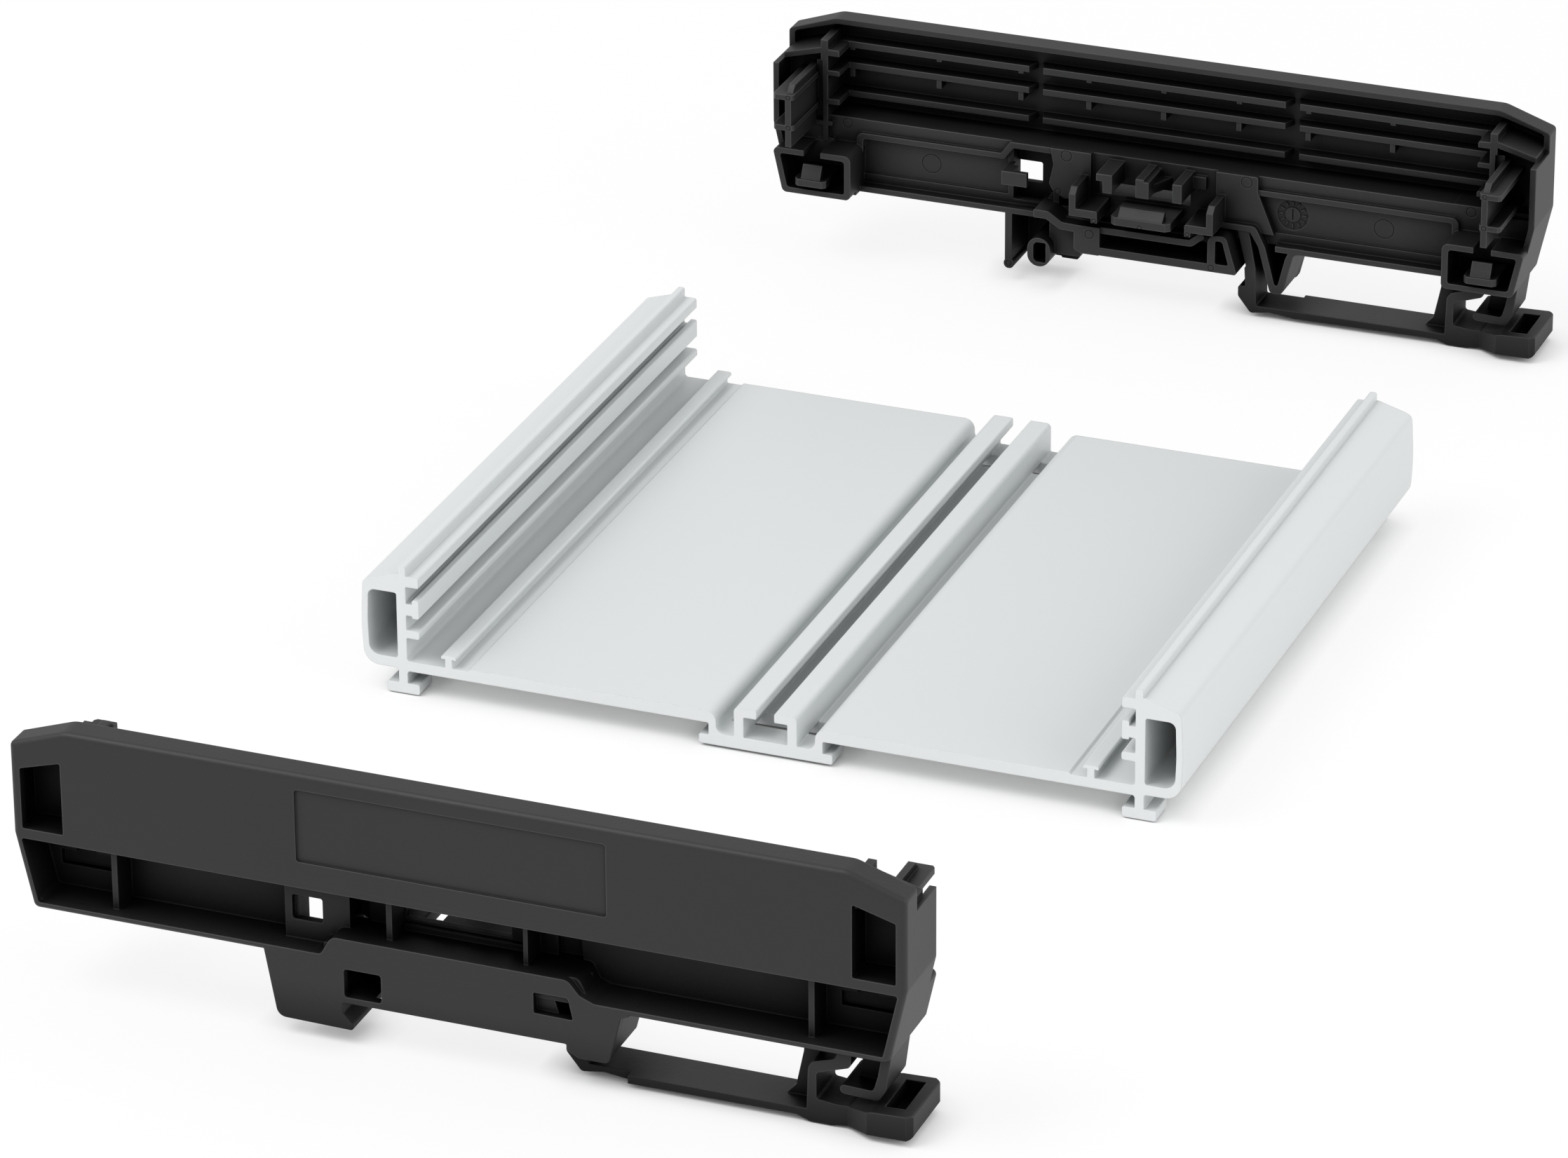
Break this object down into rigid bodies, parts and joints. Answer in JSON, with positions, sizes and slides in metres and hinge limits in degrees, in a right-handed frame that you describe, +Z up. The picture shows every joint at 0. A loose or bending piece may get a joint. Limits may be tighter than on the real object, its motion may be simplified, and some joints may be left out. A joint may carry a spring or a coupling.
{
  "type": "din rail enclosure",
  "caption": "Open tray enclosure for a circuit board on a mounting rail: a light extruded base profile and dark clip-on side elements, shown taken apart.",
  "frame": {"origin": "middle of the underside of the box round the three pieces as they stand apart on the floor", "axes": "+Z up, Y along the extruded profile with the front side element towards -Y, X across the profile and towards the lever ends of the rail feet"},
  "size_m": [0.146, 0.3072, 0.043],
  "materials": {
    "light_profile": "satin extruded light grey plastic, saw-cut at the ends",
    "dark_moulding": "matte near-black moulded plastic with a fine spark-eroded grain"
  },
  "bodies": {
    "root": {"base_profile": "light_profile", "front_side_element": "dark_moulding", "rear_side_element": "dark_moulding"}
  },
  "joints": []
}
